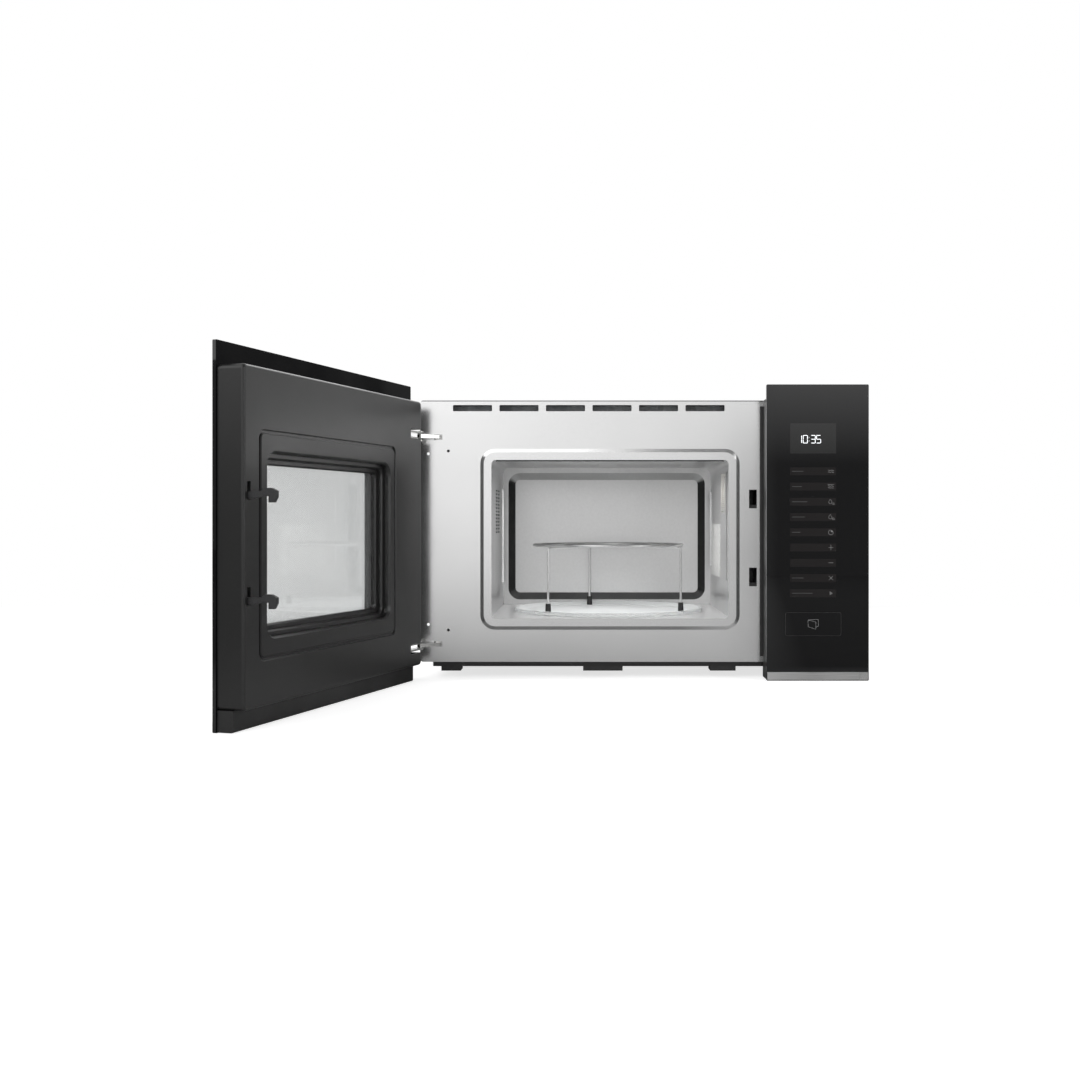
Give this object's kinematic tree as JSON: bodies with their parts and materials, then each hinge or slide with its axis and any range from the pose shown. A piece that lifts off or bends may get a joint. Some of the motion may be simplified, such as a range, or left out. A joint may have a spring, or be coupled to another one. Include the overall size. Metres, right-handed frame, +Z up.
{
  "type": "built-in microwave oven",
  "caption": "Built-in microwave oven with a side-hinged black glass door standing open, touch control panel, steel front plate, lit cavity, glass turntable and wire grill rack.",
  "frame": {"origin": "On the shelf that carries the feet, on the cavity's centre plane, where the cabinet's front edge meets the back of the front plate.", "axes": "+X to the viewer's right, +Y into the cabinet, +Z up."},
  "size_m": [0.7383, 0.7812, 0.388],
  "materials": {
    "plate_steel": "satin",
    "cavity_enamel": "semi-gloss",
    "mica": "satin",
    "black_glass": "gloss, printed black behind",
    "clear_glass": "gloss",
    "screen_metal": "matt, perforated",
    "door_enamel": "satin",
    "strip_aluminium": "brushed",
    "bright_wire": "polished",
    "hinge_plating": "bright zinc plating",
    "latch_plastic": "satin",
    "panel_plastic": "satin",
    "button_plastic": "gloss",
    "display_plastic": "dark window",
    "circuit_board": "solder resist",
    "galvanised_sheet": "spangled zinc",
    "boot_rubber": "matt",
    "ring_plastic": "satin",
    "core_iron": "varnished laminations",
    "winding_copper": "enamelled wire",
    "can_aluminium": "drawn",
    "fan_plastic": "satin",
    "element_quartz": "frosted"
  },
  "bodies": {
    "cabinet": {"front_plate": "plate_steel", "cavity_wrapper": "cavity_enamel", "cavity_floor": "cavity_enamel", "cavity_rear_wall": "cavity_enamel", "waveguide_cover": "mica", "turntable_motor": "galvanised_sheet", "hinge_arm_lower": "hinge_plating", "hinge_arm_upper": "hinge_plating", "latch_board": "latch_plastic", "door_switches": "latch_plastic", "panel_glass": "black_glass", "panel_trim_strip": "strip_aluminium", "panel_housing": "panel_plastic", "touch_foil": "display_plastic", "display_module": "display_plastic", "control_board": "circuit_board", "outer_wrap": "galvanised_sheet", "base_plate": "door_enamel", "feet": "latch_plastic", "motor_access_cover": "galvanised_sheet", "rear_panel": "galvanised_sheet", "cord_inlet": "latch_plastic", "exhaust_duct": "galvanised_sheet", "waveguide": "galvanised_sheet", "magnetron": "galvanised_sheet", "transformer_core": "core_iron", "transformer_windings": "winding_copper", "hv_capacitor": "can_aluminium", "capacitor_clamp": "galvanised_sheet", "fan_shroud": "fan_plastic", "fan_motor": "core_iron", "lamp_housing": "galvanised_sheet", "cavity_lamp": "element_quartz", "grill_reflector": "galvanised_sheet", "grill_element": "element_quartz", "thermal_cutouts": "element_quartz", "mains_filter_board": "circuit_board"},
    "door": {"door_glass": "black_glass", "door_trim_strip": "strip_aluminium", "door_frame": "door_enamel", "door_window_bezel": "door_enamel", "door_window_pane": "clear_glass", "door_window_screen": "screen_metal", "door_bottom_ledge": "door_enamel", "hinge_fork_lower": "hinge_plating", "hinge_fork_upper": "hinge_plating", "hinge_pins": "hinge_plating"},
    "latch": {"latch_hooks": "latch_plastic"},
    "open_button": {"door_button": "button_plastic"},
    "release": {"release_slider": "latch_plastic"},
    "turntable": {"turntable_coupler": "ring_plastic", "turntable_plate": "clear_glass", "grill_rack": "bright_wire", "rack_boots": "boot_rubber"},
    "ring": {"roller_ring": "ring_plastic"},
    "wheel_1": {"roller_1": "ring_plastic"},
    "wheel_2": {"roller_2": "ring_plastic"},
    "wheel_3": {"roller_3": "ring_plastic"},
    "fan": {"fan_blade": "fan_plastic"}
  },
  "joints": [
    {"name": "door_swing", "type": "hinge", "parent": "cabinet", "child": "door", "pos_m": [-0.2518, -0.0192, 0.1745], "axis": [0, 0, 1], "range_deg": [0, 106.5]},
    {"name": "latch_lift", "type": "slide", "parent": "door", "child": "latch", "axis": [0, 0, 1], "range_m": [0, 0.006], "stiffness_N_per_m": 150, "springref_m": -0.003},
    {"name": "button_press", "type": "slide", "parent": "cabinet", "child": "open_button", "axis": [0, 1, 0], "range_m": [0, 0.004], "stiffness_N_per_m": 400, "springref_m": -0.002},
    {"name": "release_lift", "type": "slide", "parent": "cabinet", "child": "release", "axis": [0, 0, 1], "range_m": [0, 0.006]},
    {"name": "turntable_spin", "type": "hinge", "parent": "cabinet", "child": "turntable", "pos_m": [0, 0.1415, 0.0623], "axis": [0, 0, 1], "continuous": true},
    {"name": "ring_spin", "type": "hinge", "parent": "cabinet", "child": "ring", "pos_m": [0, 0.1415, 0.0623], "axis": [0, 0, 1], "continuous": true},
    {"name": "wheel_1_roll", "type": "hinge", "parent": "ring", "child": "wheel_1", "pos_m": [0, 0.2465, 0.0623], "axis": [0, 1, 0], "continuous": true},
    {"name": "wheel_2_roll", "type": "hinge", "parent": "ring", "child": "wheel_2", "pos_m": [-0.09093, 0.089, 0.0623], "axis": [-0.866, -0.5, 0], "continuous": true},
    {"name": "wheel_3_roll", "type": "hinge", "parent": "ring", "child": "wheel_3", "pos_m": [0.09093, 0.089, 0.0623], "axis": [0.866, -0.5, 0], "continuous": true},
    {"name": "fan_spin", "type": "hinge", "parent": "cabinet", "child": "fan", "pos_m": [0.2402, 0.30625, 0.16], "axis": [0, 1, 0], "continuous": true}
  ],
  "couplings": [
    {"joint": "release_lift", "follows": "button_press", "ratio": 1.5},
    {"joint": "ring_spin", "follows": "turntable_spin", "ratio": 0.5},
    {"joint": "wheel_1_roll", "follows": "turntable_spin", "ratio": -9.5455},
    {"joint": "wheel_2_roll", "follows": "turntable_spin", "ratio": -9.5455},
    {"joint": "wheel_3_roll", "follows": "turntable_spin", "ratio": -9.5455}
  ]
}
